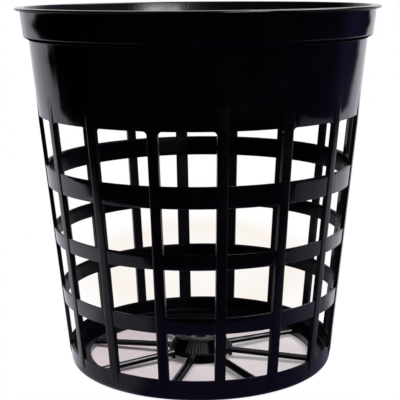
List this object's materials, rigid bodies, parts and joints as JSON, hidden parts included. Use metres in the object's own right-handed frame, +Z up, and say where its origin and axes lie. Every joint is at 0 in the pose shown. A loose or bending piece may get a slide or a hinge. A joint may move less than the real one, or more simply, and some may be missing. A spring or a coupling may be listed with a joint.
{
  "type": "net pot",
  "caption": "Tapered round net pot of black plastic: turned-out rim, solid collar and upper wall, lattice of ribs and hoops below, spoked floor with a raised hub.",
  "frame": {"origin": "on the pot's axis, at the height of the surface that it stands on", "axes": "+Z up along the pot's axis; a floor spoke and a rib lie along each of X and Y"},
  "size_m": [0.15, 0.15, 0.1515],
  "materials": {
    "gloss_black": "glossy moulded polypropylene",
    "satin_black": "satin moulded polypropylene"
  },
  "bodies": {
    "root": {"rim_lip": "gloss_black", "collar": "gloss_black", "upper_wall": "gloss_black", "hoop_upper": "gloss_black", "hoop_middle": "gloss_black", "hoop_lower": "gloss_black", "rib_01": "gloss_black", "rib_02": "gloss_black", "rib_03": "gloss_black", "rib_04": "gloss_black", "rib_05": "gloss_black", "rib_06": "gloss_black", "rib_07": "gloss_black", "rib_08": "gloss_black", "rib_09": "gloss_black", "rib_10": "gloss_black", "rib_11": "gloss_black", "rib_12": "gloss_black", "rib_13": "gloss_black", "rib_14": "gloss_black", "rib_15": "gloss_black", "rib_16": "gloss_black", "base_ring": "gloss_black", "spoke_1": "satin_black", "spoke_2": "satin_black", "spoke_3": "satin_black", "spoke_4": "satin_black", "spoke_5": "satin_black", "spoke_6": "satin_black", "spoke_7": "satin_black", "spoke_8": "satin_black", "hub_ring": "satin_black", "hub_foot_1": "satin_black", "hub_foot_2": "satin_black", "hub_foot_3": "satin_black", "hub_foot_4": "satin_black", "hub_leg_1": "satin_black", "hub_leg_2": "satin_black", "hub_leg_3": "satin_black", "hub_leg_4": "satin_black", "hub_web_1": "satin_black", "hub_web_2": "satin_black", "hub_web_3": "satin_black", "hub_web_4": "satin_black", "hub_plate": "satin_black"}
  },
  "joints": []
}
